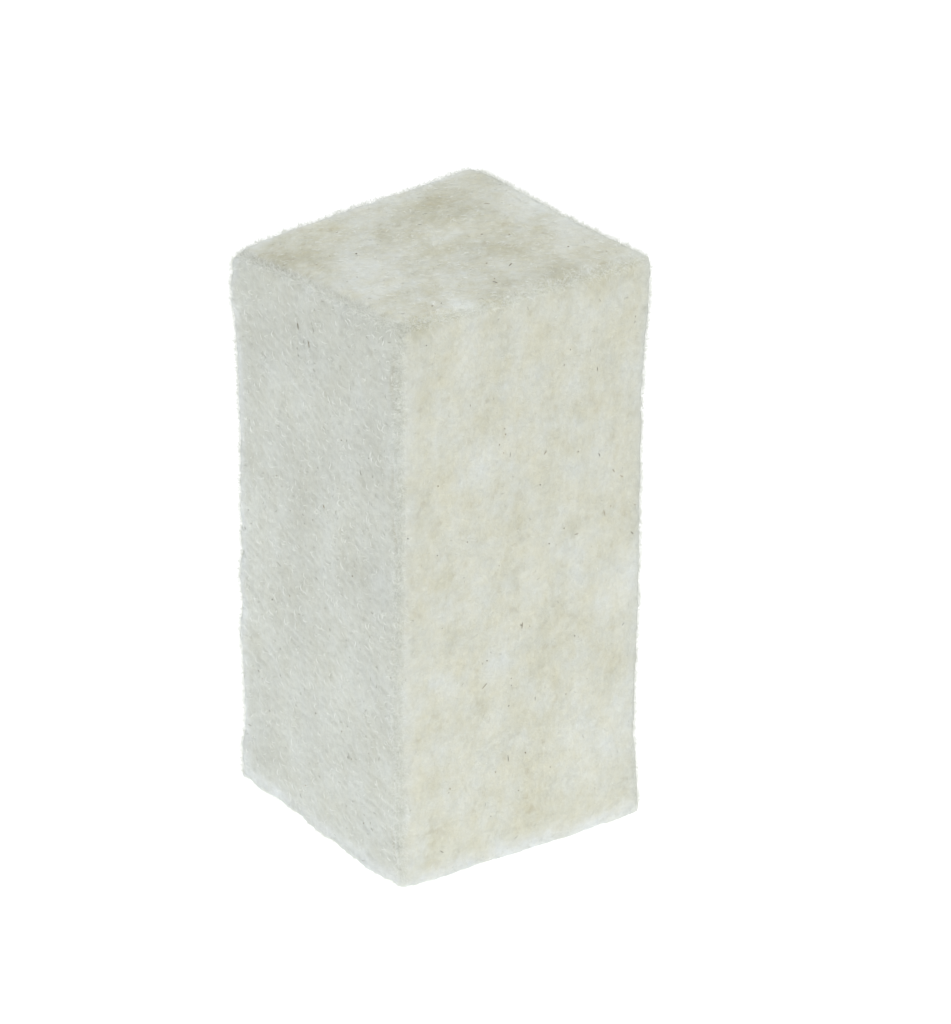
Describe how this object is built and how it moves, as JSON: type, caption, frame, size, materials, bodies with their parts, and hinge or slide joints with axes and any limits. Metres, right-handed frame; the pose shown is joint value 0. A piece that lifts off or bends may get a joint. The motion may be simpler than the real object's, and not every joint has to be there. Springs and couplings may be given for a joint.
{
  "type": "chalkboard eraser",
  "caption": "Plain square-section block of thick natural pressed wool felt, hand-sized, for wiping a chalkboard with any of its bare sides.",
  "frame": {"origin": "centre of the block's lower end, where it stands", "axes": "+Z along the block's length, X through the felt's thickness from batt to batt, Y across the block"},
  "size_m": [0.05, 0.05, 0.104],
  "materials": {
    "wool_felt": "natural off-white pressed wool felt, unbleached and undyed, matt and slightly hairy"
  },
  "bodies": {
    "root": {"left_outer_batt": "wool_felt", "left_inner_batt": "wool_felt", "core_batt": "wool_felt", "right_inner_batt": "wool_felt", "right_outer_batt": "wool_felt"}
  },
  "joints": []
}
